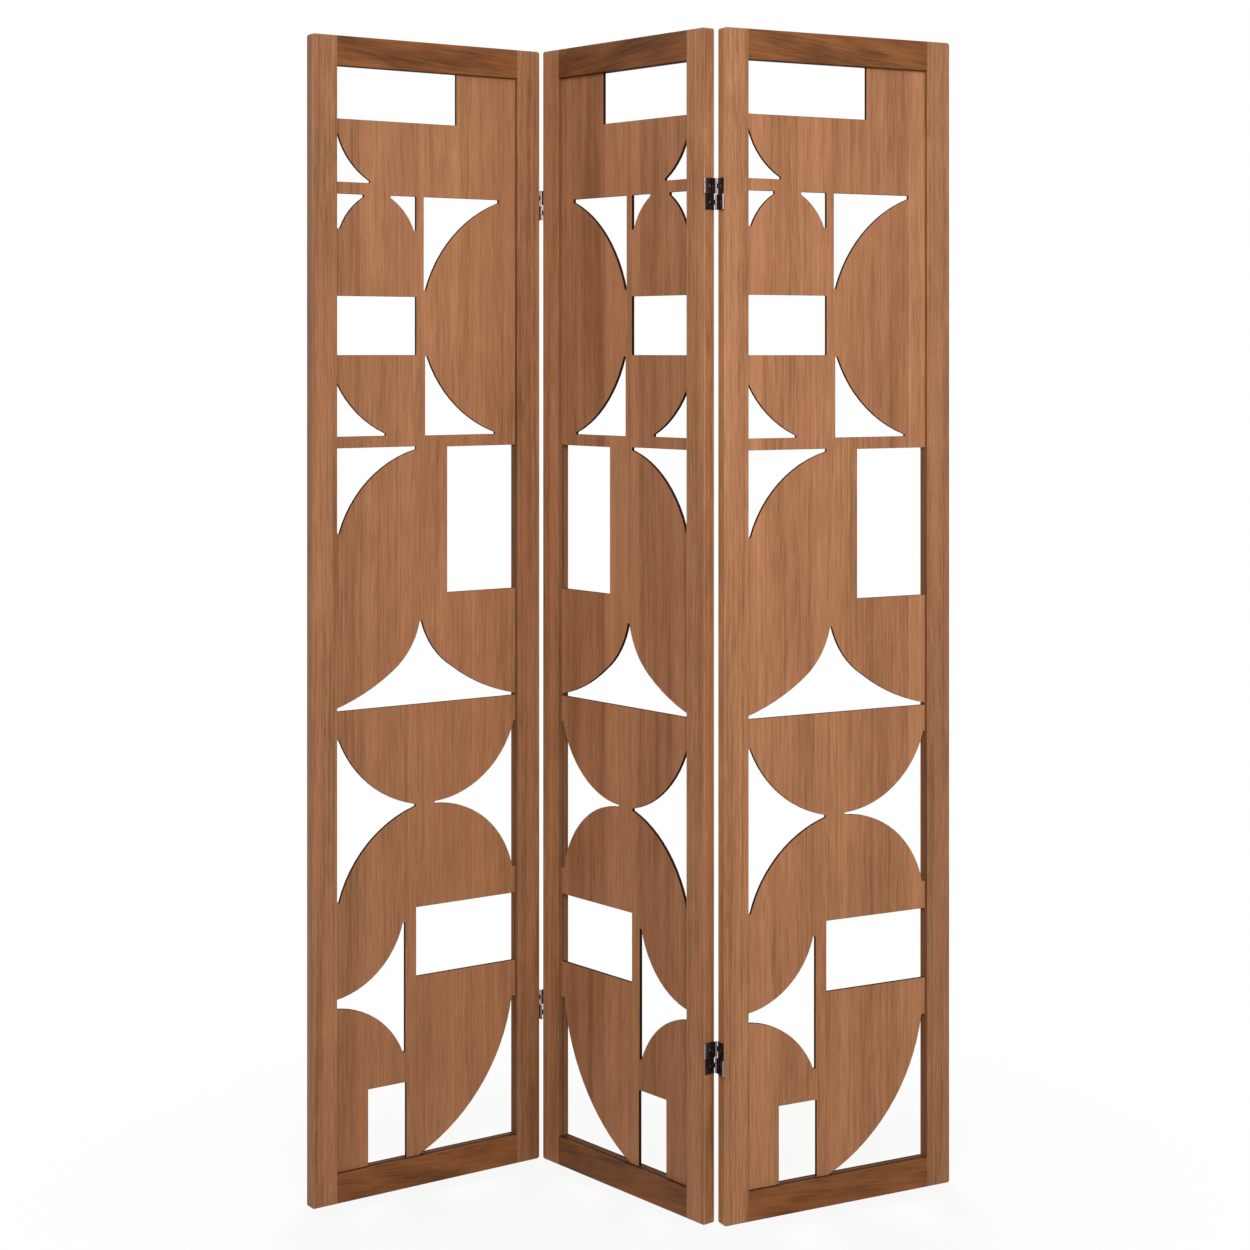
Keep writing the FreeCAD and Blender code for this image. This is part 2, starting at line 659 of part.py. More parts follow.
os.makedirs("parts", exist_ok=True)
for name, (piece, piece_place) in pieces.items():
    piece.Shape.exportStep("parts/%s.step" % name)
extent = FreeCAD.BoundBox()
for name, (piece, piece_place) in pieces.items():
    extent.add(piece.Shape.BoundBox)
    print("%-34s solids %d volume %.0f" % (name, len(piece.Shape.Solids), piece.Shape.Volume))
print("pieces", len(pieces), "box", [round(value, 2) for value in (
    extent.XMin, extent.XMax, extent.YMin, extent.YMax, extent.ZMin, extent.ZMax)])
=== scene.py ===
# %% [markdown]
# A folding screen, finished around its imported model.
# The real screen has three alike leaves. Each is a wooden frame of two stiles and two rails,
# with a thin board in a groove, pierced with arcs and rectangles. Small double-action hinges
# of dark bronze join them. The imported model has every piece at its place, so this lesson makes
# the leaves again with worked edges, eases the hinge plates, and gives it all its grain, its
# metal and its light.

# %% Load the frame
import json
import math

import bpy
from mathutils import Matrix, Vector


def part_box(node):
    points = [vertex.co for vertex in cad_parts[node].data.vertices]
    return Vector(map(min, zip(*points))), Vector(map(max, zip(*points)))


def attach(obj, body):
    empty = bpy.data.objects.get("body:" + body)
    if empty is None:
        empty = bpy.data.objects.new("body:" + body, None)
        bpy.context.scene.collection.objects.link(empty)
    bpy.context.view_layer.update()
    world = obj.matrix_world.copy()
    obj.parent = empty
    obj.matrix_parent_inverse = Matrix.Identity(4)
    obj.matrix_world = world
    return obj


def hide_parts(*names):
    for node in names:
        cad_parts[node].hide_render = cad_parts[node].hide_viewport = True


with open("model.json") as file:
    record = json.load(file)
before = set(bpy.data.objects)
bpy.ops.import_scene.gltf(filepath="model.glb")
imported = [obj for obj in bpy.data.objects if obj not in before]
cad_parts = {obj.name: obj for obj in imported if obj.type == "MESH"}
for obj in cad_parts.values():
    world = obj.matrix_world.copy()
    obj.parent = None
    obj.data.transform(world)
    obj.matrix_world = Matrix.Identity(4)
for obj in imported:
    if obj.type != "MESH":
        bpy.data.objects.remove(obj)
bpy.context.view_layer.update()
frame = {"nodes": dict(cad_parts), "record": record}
nodes = frame["nodes"]

# %% [markdown]
# The camera comes first, because every later choice is judged through it. The upright lines of
# the photograph stay upright, so the camera is level, and a shifted lens brings the foot of the
# screen into the picture. Its place was solved from the twelve corners of the leaves.

# %% Camera
PHOTO_SIDE = 1250
FOCAL_PIXELS = 2440.8
OPTICAL_CENTRE_X = 732.8
HORIZON_Y = 349.3
SENSOR = 36
CAMERA_PLACE = (0.1561, -3.8239, 1.3161)
CAMERA_REACH = 200

camera = bpy.data.objects.new("camera", bpy.data.cameras.new("camera"))
bpy.context.scene.collection.objects.link(camera)
bpy.context.scene.camera = camera
camera.location = CAMERA_PLACE
camera.rotation_euler = (math.radians(90), 0, 0)
camera.data.sensor_width = SENSOR
camera.data.lens = FOCAL_PIXELS / PHOTO_SIDE * SENSOR
camera.data.shift_x = (PHOTO_SIDE / 2 - OPTICAL_CENTRE_X) / PHOTO_SIDE
camera.data.shift_y = (HORIZON_Y - PHOTO_SIDE / 2) / PHOTO_SIDE
camera.data.clip_end = CAMERA_REACH
print("lens", round(camera.data.lens, 1), "mm")

# %% [markdown]
# Each leaf gets a frame of its own: across the leaf from its outer left edge, through its
# thickness from its face, and up. The middle leaf stands turned round, so its own left stile is
# the one that the viewer sees on the right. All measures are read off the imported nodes.

# %% Measure the leaves
LEAVES = {"left": ("left", "right"), "middle": ("right", "left"), "right": ("left", "right")}
ACROSS, THROUGH, UP = 0, 1, 2


def centre(node):
    low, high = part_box(node)
    return (low + high) / 2


def leaf_place(leaf):
    """The matrix that carries a point from the leaf's own frame to the model's frame."""
    stiles = ["%s_panel_%s_stile" % (leaf, side) for side in LEAVES[leaf]]
    across = centre(stiles[1]) - centre(stiles[0])
    faces = nodes["%s_panel_pierced_insert" % leaf].data.polygons
    through = max(faces, key=lambda face: face.area).normal.copy()
    if through.dot(Vector((-across.y, across.x, 0))) < 0:
        through.negate()
    across = Vector((through.y, -through.x, 0))
    points = [vertex.co for vertex in nodes[stiles[0]].data.vertices]
    corner = (across * min(point.dot(across) for point in points)
              + through * min(point.dot(through) for point in points))
    return Matrix.Translation(corner) @ Matrix(
        (across, through, Vector((0, 0, 1)))).transposed().to_4x4()


def span(leaf, part):
    """Lowest and highest corner of a node in its leaf's own frame."""
    home = places[leaf].inverted()
    points = [home @ vertex.co for vertex in nodes["%s_panel_%s" % (leaf, part)].data.vertices]
    return (Vector(min(point[axis] for point in points) for axis in range(3)),
            Vector(max(point[axis] for point in points) for axis in range(3)))


places = {leaf: leaf_place(leaf) for leaf in LEAVES}
left_low, left_high = span("left", "left_stile")
right_low, right_high = span("left", "right_stile")
rail_low, rail_high = span("left", "bottom_rail")
insert_low, insert_high = span("left", "pierced_insert")
leaf_width, leaf_height = right_high.x, right_high.z
print("leaf", round(leaf_width, 4), "by", round(leaf_height, 4),
      "stile", round(left_high.x, 4), "rail", round(rail_high.z, 4),
      "thickness", round(left_high.y, 4))

# %% [markdown]
# Three helpers carry most of the modelling. One picks a single object, one opens a mesh with
# only the wanted faces or edges selected, and one closes it. Picking in code, by place, is what
# a hand with a mouse does by eye, and a small test tells whether points lie in one plane.

# %% Helpers for modelling
TOUCH = 0.00002


def take(piece):
    bpy.ops.object.select_all(action="DESELECT")
    piece.select_set(True)
    bpy.context.view_layer.objects.active = piece


def open_mesh(piece, kind, wanted):
    """Opens a mesh with the faces or edges selected whose points pass the test wanted."""
    take(piece)
    bpy.ops.object.mode_set(mode="EDIT")
    bpy.ops.mesh.select_mode(type=kind)
    bpy.ops.mesh.select_all(action="DESELECT")
    bpy.ops.object.mode_set(mode="OBJECT")
    points = piece.data.vertices
    for part in piece.data.edges if kind == "EDGE" else piece.data.polygons:
        part.select = wanted([points[index].co for index in part.vertices])
    bpy.ops.object.mode_set(mode="EDIT")


def close_mesh():
    bpy.ops.object.mode_set(mode="OBJECT")


def on(points, axis, place):
    """True if all the points lie in one plane across an axis."""
    return all(abs(point[axis] - place) < TOUCH for point in points)


# %% [markdown]
# A stile starts as a sawn board, a primitive at its real size. Bisecting marks out the groove,
# extruding the marked strip inwards sinks it, and bevels round what a hand touches. The groove
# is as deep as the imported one, because the line of a real joint casts its own thin shadow.

# %% Boards, grooves and rounded edges
INSERT_PLAY = 0.001
GROOVE_DEPTH = left_high.x - insert_low.x + INSERT_PLAY
CORNER_ROUND = 0.004
ARRIS_ROUND = 0.0015
INNER_EASE = 0.0005
ROUND_STEPS, EASE_STEPS = 5, 2


def board(name, low, high):
    bpy.ops.object.select_all(action="DESELECT")
    bpy.ops.mesh.primitive_cube_add(size=1, location=(low + high) / 2, scale=high - low)
    piece = bpy.context.active_object
    piece.name = piece.data.name = name
    bpy.ops.object.transform_apply(location=True, rotation=True, scale=True)
    return piece


def mark_out(piece, axis, lines):
    """Cuts edges into the skin of a board, across an axis."""
    normal = Vector(float(axis == other) for other in range(3))
    for line in lines:
        open_mesh(piece, "FACE", lambda points: True)
        bpy.ops.mesh.bisect(plane_co=normal * line, plane_no=normal)
        close_mesh()


def sink_groove(piece, axis, inner, into, length_axis, ends):
    """Marks out the groove on the inner side of a board and extrudes it inwards."""
    mark_out(piece, THROUGH, (insert_low.y, insert_high.y))
    mark_out(piece, length_axis, [end for end in ends if end is not None])

    def in_groove(points):
        middle = sum(points, Vector()) / len(points)
        low, high = ends
        return (on(points, axis, inner) and insert_low.y < middle.y < insert_high.y
                and (low is None or low < middle[length_axis])
                and (high is None or middle[length_axis] < high))

    open_mesh(piece, "FACE", in_groove)
    bpy.ops.mesh.extrude_region_move(TRANSFORM_OT_translate={"value": into})
    close_mesh()


def round_over(piece, radius, steps, wanted):
    open_mesh(piece, "EDGE", wanted)
    bpy.ops.mesh.bevel(offset=radius, segments=steps, affect="EDGES")
    close_mesh()


def on_a_face(points):
    return on(points, THROUGH, left_low.y) or on(points, THROUGH, left_high.y)


def ease_inner_side(piece, axis, inner):
    """Takes the sharpness off the inner side of a board and off the lips of its groove."""
    round_over(piece, INNER_EASE, EASE_STEPS, lambda points: on(points, axis, inner) and (
        on_a_face(points) or on(points, THROUGH, insert_low.y)
        or on(points, THROUGH, insert_high.y)))


def make_stile(side):
    left = side == "left"
    low, high = (left_low, left_high) if left else (right_low, right_high)
    outer, inner = (low.x, high.x) if left else (high.x, low.x)
    piece = board("%s_stile" % side, low, high)
    round_over(piece, CORNER_ROUND, ROUND_STEPS, lambda points: on(points, ACROSS, outer) and (
        on(points, UP, low.z) or on(points, UP, high.z)))
    into = Vector((-GROOVE_DEPTH if left else GROOVE_DEPTH, 0, 0))
    sink_groove(piece, ACROSS, inner, into, UP, (insert_low.z, insert_high.z))
    round_over(piece, ARRIS_ROUND, ROUND_STEPS,
               lambda points: on_a_face(points) and not on(points, ACROSS, inner)
               and any(abs(point.x - outer) < CORNER_ROUND + TOUCH
                       or on([point], UP, low.z) or on([point], UP, high.z)
                       for point in points)
               and not on(points, UP, insert_low.z) and not on(points, UP, insert_high.z))
    ease_inner_side(piece, ACROSS, inner)
    return piece


def make_rail(level):
    low, high = Vector(rail_low), Vector(rail_high)
    if level == "top":
        low.z, high.z = leaf_height - rail_high.z, leaf_height
    outer, inner = (low.z, high.z) if level == "bottom" else (high.z, low.z)
    piece = board("%s_rail" % level, low, high)
    into = Vector((0, 0, -GROOVE_DEPTH if level == "bottom" else GROOVE_DEPTH))
    sink_groove(piece, UP, inner, into, ACROSS, (None, None))
    round_over(piece, ARRIS_ROUND, ROUND_STEPS,
               lambda points: on(points, UP, outer) and on_a_face(points))
    ease_inner_side(piece, UP, inner)
    return piece


patterns = {"left_stile": make_stile("left"), "right_stile": make_stile("right"),
            "bottom_rail": make_rail("bottom"), "top_rail": make_rail("top")}
for name, piece in patterns.items():
    print(name, len(piece.data.polygons), "faces")

# %% [markdown]
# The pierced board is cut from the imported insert's own outline. Its front face is copied, all
# but the rim is deleted, and the rim becomes a flat curve. A filled curve with an extrude and a
# small bevel is the simplest way to a plate with many holes and an eased edge all round.

# %% Pierced insert
RIM_EASE = 0.0003
MERGE = 0.000005


def make_insert():
    source = nodes["left_panel_pierced_insert"]
    piece = bpy.data.objects.new("pierced_insert", source.data.copy())
    bpy.context.scene.collection.objects.link(piece)
    piece.matrix_world = places["left"].inverted()
    take(piece)
    bpy.ops.object.transform_apply(location=True, rotation=True, scale=True)
    face = insert_low.y
    open_mesh(piece, "FACE", lambda points: not on(points, THROUGH, face))
    bpy.ops.mesh.delete(type="FACE")
    bpy.ops.mesh.select_all(action="SELECT")
    bpy.ops.mesh.remove_doubles(threshold=MERGE)
    bpy.ops.mesh.region_to_loop()
    bpy.ops.mesh.select_all(action="INVERT")
    bpy.ops.mesh.delete(type="EDGE_FACE")
    close_mesh()
    lay_flat = Matrix.Rotation(math.radians(-90), 4, "X")
    piece.matrix_world = lay_flat @ Matrix.Translation((0, -face, 0))
    bpy.ops.object.transform_apply(location=True, rotation=True, scale=True)
    bpy.ops.object.convert(target="CURVE")
    curve = bpy.context.active_object.data
    curve.dimensions = "2D"
    curve.fill_mode = "BOTH"
    curve.extrude = (insert_high.y - insert_low.y) / 2 - RIM_EASE
    curve.bevel_depth = RIM_EASE
    curve.bevel_resolution = 1
    curve.offset = -RIM_EASE
    bpy.ops.object.convert(target="MESH")
    piece = bpy.context.active_object
    middle = (insert_high.y + insert_low.y) / 2
    piece.matrix_world = Matrix.Translation((0, middle, 0)) @ lay_flat.inverted()
    bpy.ops.object.transform_apply(location=True, rotation=True, scale=True)
    open_mesh(piece, "FACE", lambda points: True)
    bpy.ops.mesh.remove_doubles(threshold=MERGE)
    bpy.ops.mesh.normals_make_consistent(inside=False)
    close_mesh()
    return piece


patterns["pierced_insert"] = make_insert()
print("pierced insert", len(patterns["pierced_insert"].data.polygons), "faces")

# %% [markdown]
# Grain must run with the plank, not with the room. So each point keeps where it lies in its own
# plank, across, through and along the grain, as an attribute. Each copy starts at another place
# in the wood, and no two planks are alike. A second attribute darkens single faces: fully on the
# burnt cut rim of the board, in part on end grain, where the oil gathers, and as painted shade
# on the inner sides of the frame, on the underside of the top rail and most of all on the ledge
# of the bottom rail. Where the rim lies flush with the frame it is less dark: as dark as the
# painted shade there, but never lighter than FLUSH_RIM. A third gives each plank a tone of its
# own, set by comparing how bright that plank is in the picture and in the photograph. That tone
# is partly the plank's own and partly painted light and shade, for planks that face the light
# differently.

# %% Copy the pieces to the leaves
RAIL_PARTS = ("bottom_rail", "top_rail")
PLANK_STEP = Vector((0.61, 0.37, 2.3))
SMOOTH_ANGLE = math.radians(35)
FLAT_ON, END_ON = 0.99, 0.9
# In turn: darker end grain, painted shade on the inner sides of the stiles, under the top rail
# and on the ledge of the bottom rail, and the least darkness of the burnt rim where it lies
# flush.
END_GRAIN, INNER_SIDE_SHADE, UNDERSIDE_SHADE, LEDGE_SHADE, FLUSH_RIM = 0.4, 0.45, 0.65, 0.82, 0.6
SHADED_INNER_SIDES = {"left_stile": (ACROSS, left_high.x, INNER_SIDE_SHADE),
               "right_stile": (ACROSS, right_low.x, INNER_SIDE_SHADE),
               "bottom_rail": (UP, rail_high.z, LEDGE_SHADE),
               "top_rail": (UP, leaf_height - rail_high.z, UNDERSIDE_SHADE)}
# Each plank's tone: partly its own, partly painted light and shade for planks that face the
# light differently.
PLANK_TONE_AND_SHADE = {"left_panel_left_stile": 0.96, "left_panel_right_stile": 0.85,
         "middle_panel_left_stile": 0.99, "middle_panel_right_stile": 1.01,
         "right_panel_left_stile": 1.14, "right_panel_right_stile": 0.96,
         "left_panel_pierced_insert": 0.98, "middle_panel_pierced_insert": 0.98,
         "right_panel_pierced_insert": 1.18, "left_panel_top_rail": 1.11,
         "middle_panel_top_rail": 0.90, "right_panel_top_rail": 1.11,
         "left_panel_bottom_rail": 1.12, "middle_panel_bottom_rail": 0.99,
         "right_panel_bottom_rail": 1.13}


def copy_of(mesh, name):
    piece = bpy.data.objects.new(name + "_finished", mesh.copy())
    bpy.context.scene.collection.objects.link(piece)
    return piece


def lay_grain(piece, lengthwise, plank):
    grain = piece.data.attributes.new("grain", "FLOAT_VECTOR", "POINT")
    for vertex, value in zip(piece.data.vertices, grain.data):
        x, y, z = vertex.co
        place = Vector((x, y, z)) if lengthwise == UP else Vector((z, y, x))
        value.vector = place + PLANK_STEP * plank


def mark_faces(piece, name, how_much):
    marks = piece.data.attributes.new(name, "FLOAT", "FACE")
    for face, value in zip(piece.data.polygons, marks.data):
        value.value = how_much(face)


def burn_and_shade_of(part):
    """A function of a face: how much darker it is than its wood, from 0 to 1: burnt on the cut
    rim, painted shade on the inner sides of the frame.
    """
    def cut_rim(face):
        if abs(face.normal.y) > FLAT_ON:
            return 0.0
        flush = [max(FLUSH_RIM, burn_and_shade) for axis, inner, burn_and_shade in SHADED_INNER_SIDES.values()
                 if abs(face.center[axis] - inner) < TOUCH]
        return max(flush, default=1.0)

    def frame_face(face):
        axis, inner, burn_and_shade = SHADED_INNER_SIDES[part]
        if abs(face.normal[axis]) > END_ON and abs(face.center[axis] - inner) < TOUCH:
            return burn_and_shade
        return END_GRAIN if part not in RAIL_PARTS and abs(face.normal.z) > END_ON else 0.0

    return cut_rim if part == "pierced_insert" else frame_face


def smooth_and_weigh(piece):
    take(piece)
    bpy.ops.object.shade_smooth_by_angle(angle=SMOOTH_ANGLE)
    weighted = piece.modifiers.new("flat faces stay flat", "WEIGHTED_NORMAL")
    weighted.keep_sharp = True
    bpy.ops.object.modifier_apply(modifier=weighted.name)


finished = {}
for number, leaf in enumerate(LEAVES):
    for order, (part, pattern) in enumerate(patterns.items()):
        side = part
        if leaf == "middle" and part.endswith("_stile"):
            side = {"left_stile": "right_stile", "right_stile": "left_stile"}[part]
        node = "%s_panel_%s" % (leaf, side)
        piece = copy_of(pattern.data, node)
        lay_grain(piece, ACROSS if part in RAIL_PARTS else UP, number * len(patterns) + order)
        # Marks the burnt rim and the painted shade on single faces, and each plank's tone, which
        # is partly painted light and shade.
        mark_faces(piece, "burn_and_shade", burn_and_shade_of(part))
        mark_faces(piece, "tone", lambda face: PLANK_TONE_AND_SHADE[node])
        smooth_and_weigh(piece)
        piece.matrix_world = places[leaf]
        bpy.ops.object.transform_apply(location=True, rotation=True, scale=True)
        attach(piece, leaf + "_panel")
        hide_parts(node)
        finished[node] = piece
for pattern in patterns.values():
    bpy.data.objects.remove(pattern)
print("finished pieces", len(finished))

# %% [markdown]
# The hinges are stamped from thin sheet and rolled round their pins. Their shapes are right as
# packed, but stamped edges are never sharp, and a bright line on an edge is what makes a small
# part look like metal. So each plate is copied, cleaned and beveled. The rolled knuckles lose
# their dark finish where they rub, and their lighter colour is also a painted highlight. An
# attribute marks them for the material.

# %% Hinge plates
PLATE_EASE = 0.00012
FLAT_ANGLE, SHARP_ANGLE = math.radians(1), math.radians(40)
KNUCKLE_WALL = 0.0013
PLATES = ("left_leaf", "right_leaf", "upper_link", "lower_link")
hinges = sorted({name.rsplit("_hinge_", 1)[0] + "_hinge" for name in nodes if "_hinge_" in name})
body_of = {node: body for body, members in frame["record"]["behaviour"]["bodies"].items()
           for node in members}


def eased_plate(node):
    piece = copy_of(nodes[node].data, node)
    open_mesh(piece, "FACE", lambda points: True)
    bpy.ops.mesh.remove_doubles(threshold=MERGE)
    bpy.ops.mesh.dissolve_limited(angle_limit=FLAT_ANGLE)
    bpy.ops.mesh.normals_make_consistent(inside=False)
    close_mesh()
    bevel = piece.modifiers.new("eased edges", "BEVEL")
    bevel.width, bevel.segments = PLATE_EASE, EASE_STEPS
    bevel.limit_method, bevel.angle_limit = "ANGLE", SHARP_ANGLE
    bpy.ops.object.modifier_apply(modifier=bevel.name)
    return piece


# Marks the knuckles, whose lighter colour is partly wear and partly a painted highlight.
def mark_knuckles(piece, pins):
    points = piece.data.vertices

    def rolled(face):
        spots = [points[index].co.xy for index in face.vertices]
        return float(all(min((spot - pin).length for pin in pins) < KNUCKLE_WALL
                         for spot in spots))

    mark_faces(piece, "rubbed", rolled)


for hinge in hinges:
    pins = {tuple(round(part, 4) for part in vertex.co.xy) for half in ("upper", "lower")
            for vertex in nodes["%s_%s_pins" % (hinge, half)].data.vertices}
    pins = [Vector(pin) for pin in pins]
    for part in PLATES:
        node = "%s_%s" % (hinge, part)
        piece = eased_plate(node)
        mark_knuckles(piece, pins)
        smooth_and_weigh(piece)
        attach(piece, body_of[node])
        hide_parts(node)
        finished[node] = piece
    print(hinge, len(pins), "places on its pins")

# %% [markdown]
# Materials are built from nodes. One small function adds a node, sets it up and links its
# inputs. The others are short words for the nodes used most, so that each material below reads
# like a list of what it is made of.

# %% Helpers for materials
def node_in(tree, kind, inputs=(), **settings):
    made = tree.nodes.new(kind)
    for setting, value in settings.items():
        setattr(made, setting, value)
    for key, value in dict(inputs).items():
        if isinstance(value, bpy.types.NodeSocket):
            tree.links.new(value, made.inputs[key])
        else:
            made.inputs[key].default_value = value
    return made


def math_in(tree, operation, first, second=0.0, third=0.0):
    return node_in(tree, "ShaderNodeMath", {0: first, 1: second, 2: third},
                   operation=operation).outputs[0]


def noise_in(tree, vector, stretch, detail=2.0, roughness=0.5):
    """Noise whose grains are 1 / stretch metres long in each direction."""
    stretched = node_in(tree, "ShaderNodeVectorMath", {0: vector, 1: stretch},
                        operation="MULTIPLY").outputs[0]
    return node_in(tree, "ShaderNodeTexNoise", {"Vector": stretched, "Scale": 1.0,
                                                "Detail": detail,
                                                "Roughness": roughness}).outputs["Fac"]


def mix_in(tree, amount, first, second):
    return node_in(tree, "ShaderNodeMix", {0: amount, 6: first, 7: second},
                   data_type="RGBA").outputs[2]


def ramp_in(tree, value, start, end, first=0.0, last=1.0):
    """Goes from first to last while the value goes from start to end, and no further."""
    return node_in(tree, "ShaderNodeMapRange", {0: value, 1: start, 2: end, 3: first,
                                                4: last}).outputs[0]


def bump_in(tree, height, distance, strength):
    return node_in(tree, "ShaderNodeBump", {"Height": height, "Distance": distance,
                                            "Strength": strength}).outputs[0]


# %% [markdown]
# The wood is a warm, straight-grained brown with a satin finish. From far away it is wide soft
# bands, a step nearer it is long thin lines and streaks, and close up it is short dark pores.
# Each is noise that is stretched along the grain, and one group holds them all, because the
# stiles, rails and board differ only in their colours and in how strong each layer is. The
# figure of the rails also runs a little slantwise, as the plank was sawn.

# %% Wood grain group
SWAY = ((7, 7, 1.6), 2)
LAYERS = {"bands": ((38, 38, 1.1), 2), "clouds": ((30, 30, 9), 3), "lines": ((230, 230, 1.6), 2),
          "streaks": ((430, 430, 20), 3, 0.6), "fibres": ((1500, 1500, 22), 2),
          "blush": ((70, 70, 2), 3), "pores": ((1900, 1900, 60), 1)}
SWAY_REACH = 0.014
STRIP_WIDTH = 0.087
MIDDLE_TONE, FIBRE_TONE = 0.56, 0.25
LINE_START, LINE_FULL = 0.47, 0.62
BLUSH_START, BLUSH_FULL, BLUSH_MOST = 0.42, 0.66, 0.45
PORE_START, PORE_FULL, PORE_MOST = 0.66, 0.74, 0.45
SMOOTHEST, STREAK_ROUGHNESS, PORE_ROUGHNESS = 0.40, 0.16, 0.3
FIBRE_HEIGHT = 0.6


def wood_group():
    tree = bpy.data.node_groups.new("wood_grain", "ShaderNodeTree")
    sockets = tree.interface
    sockets.new_socket("Grain", in_out="INPUT", socket_type="NodeSocketVector")
    for word in ("Light", "Dark", "Rosy"):
        sockets.new_socket(word, in_out="INPUT", socket_type="NodeSocketColor")
    for word in ("Bands", "Clouds", "Lines", "Streaks", "Strips", "Slant"):
        sockets.new_socket(word, in_out="INPUT", socket_type="NodeSocketFloat")
    sockets.new_socket("Color", in_out="OUTPUT", socket_type="NodeSocketColor")
    sockets.new_socket("Roughness", in_out="OUTPUT", socket_type="NodeSocketFloat")
    sockets.new_socket("Height", in_out="OUTPUT", socket_type="NodeSocketFloat")
    given = tree.nodes.new("NodeGroupInput").outputs

    place = node_in(tree, "ShaderNodeSeparateXYZ", {0: given["Grain"]}).outputs
    sway = math_in(tree, "SUBTRACT", noise_in(tree, given["Grain"], *SWAY), 0.5)
    shift = math_in(tree, "MULTIPLY_ADD", place[2], given["Slant"],
                    math_in(tree, "MULTIPLY", sway, SWAY_REACH))
    sideways = node_in(tree, "ShaderNodeCombineXYZ", {0: shift}).outputs[0]
    grain = node_in(tree, "ShaderNodeVectorMath", {0: given["Grain"], 1: sideways},
                    operation="ADD").outputs[0]

    layers = {word: noise_in(tree, grain, *noise) for word, noise in LAYERS.items()}
    strip = math_in(tree, "FLOOR", math_in(tree, "DIVIDE", place[0], STRIP_WIDTH))
    strips = node_in(tree, "ShaderNodeTexWhiteNoise", {"W": strip},
                     noise_dimensions="1D").outputs["Value"]

    tone = MIDDLE_TONE
    for layer, strength in ((layers["bands"], given["Bands"]),
                            (layers["clouds"], given["Clouds"]),
                            (layers["streaks"], given["Streaks"]), (strips, given["Strips"]),
                            (layers["fibres"], FIBRE_TONE)):
        tone = math_in(tree, "MULTIPLY_ADD", math_in(tree, "SUBTRACT", layer, 0.5), strength,
                       tone)
    line = ramp_in(tree, layers["lines"], LINE_START, LINE_FULL)
    tone = math_in(tree, "SUBTRACT", tone, math_in(tree, "MULTIPLY", line, given["Lines"]))
    tone = node_in(tree, "ShaderNodeClamp", {0: tone}).outputs[0]

    wood = mix_in(tree, tone, given["Dark"], given["Light"])
    rose = ramp_in(tree, layers["blush"], BLUSH_START, BLUSH_FULL, 0.0, BLUSH_MOST)
    wood = mix_in(tree, rose, wood, given["Rosy"])
    pore = ramp_in(tree, layers["pores"], PORE_START, PORE_FULL, 0.0, PORE_MOST)
    wood = mix_in(tree, pore, wood, given["Dark"])

    rough = math_in(tree, "MULTIPLY_ADD", layers["streaks"], STREAK_ROUGHNESS, SMOOTHEST)
    rough = math_in(tree, "MULTIPLY_ADD", pore, PORE_ROUGHNESS, rough)
    height = math_in(tree, "SUBTRACT", math_in(tree, "MULTIPLY", layers["fibres"],
                                               FIBRE_HEIGHT), pore)
    node_in(tree, "NodeGroupOutput", {"Color": wood, "Roughness": rough, "Height": height})
    return tree


wood_grain = wood_group()
print("wood group", len(wood_grain.nodes), "nodes")

# %% [markdown]
# The three woods share that group. The board's cut rim is dark, as a cutter leaves it when it
# gets hot. The rim and the painted shade on the inner sides of the frame are picked by the marks
# on their faces, and both darken towards the same burnt colour. A thin coat of varnish gives the
# wood a pale sheen. The darker a face, the thinner the coat, so the painted shade dulls it too,
# and the cut rim and the ledge have none.

# %% Wood materials
WOODS = {
    "stile_wood": {"Light": (0.538, 0.260, 0.125, 1), "Dark": (0.240, 0.103, 0.044, 1),
                   "Rosy": (0.459, 0.195, 0.098, 1), "Bands": 1.4, "Clouds": 0.6,
                   "Lines": 0.32, "Streaks": 1.8, "Strips": 0.0, "Slant": 0.0},
    "rail_wood": {"Light": (0.315, 0.123, 0.043, 1), "Dark": (0.100, 0.035, 0.012, 1),
                  "Rosy": (0.264, 0.087, 0.032, 1), "Bands": 0.7, "Clouds": 2.0,
                  "Lines": 0.12, "Streaks": 1.3, "Strips": 0.0, "Slant": 0.10},
    "insert_wood": {"Light": (0.553, 0.263, 0.128, 1), "Dark": (0.254, 0.108, 0.047, 1),
                    "Rosy": (0.470, 0.196, 0.103, 1), "Bands": 1.0, "Clouds": 0.5,
                    "Lines": 0.20, "Streaks": 1.3, "Strips": 0.5, "Slant": 0.0},
}
# The burnt colour of the cut rim, which also serves as painted shade on the frame's inner sides.
BURNT_AND_SHADE = (0.030, 0.012, 0.006, 1)
BURNT_ROUGHNESS = 0.95
PORE_DEPTH, PORE_STRENGTH = 0.0002, 0.5
SHINE = 0.05
VARNISH = {"stile_wood": 0.35, "rail_wood": 0.2, "insert_wood": 0.35}
VARNISH_ROUGHNESS = 0.42


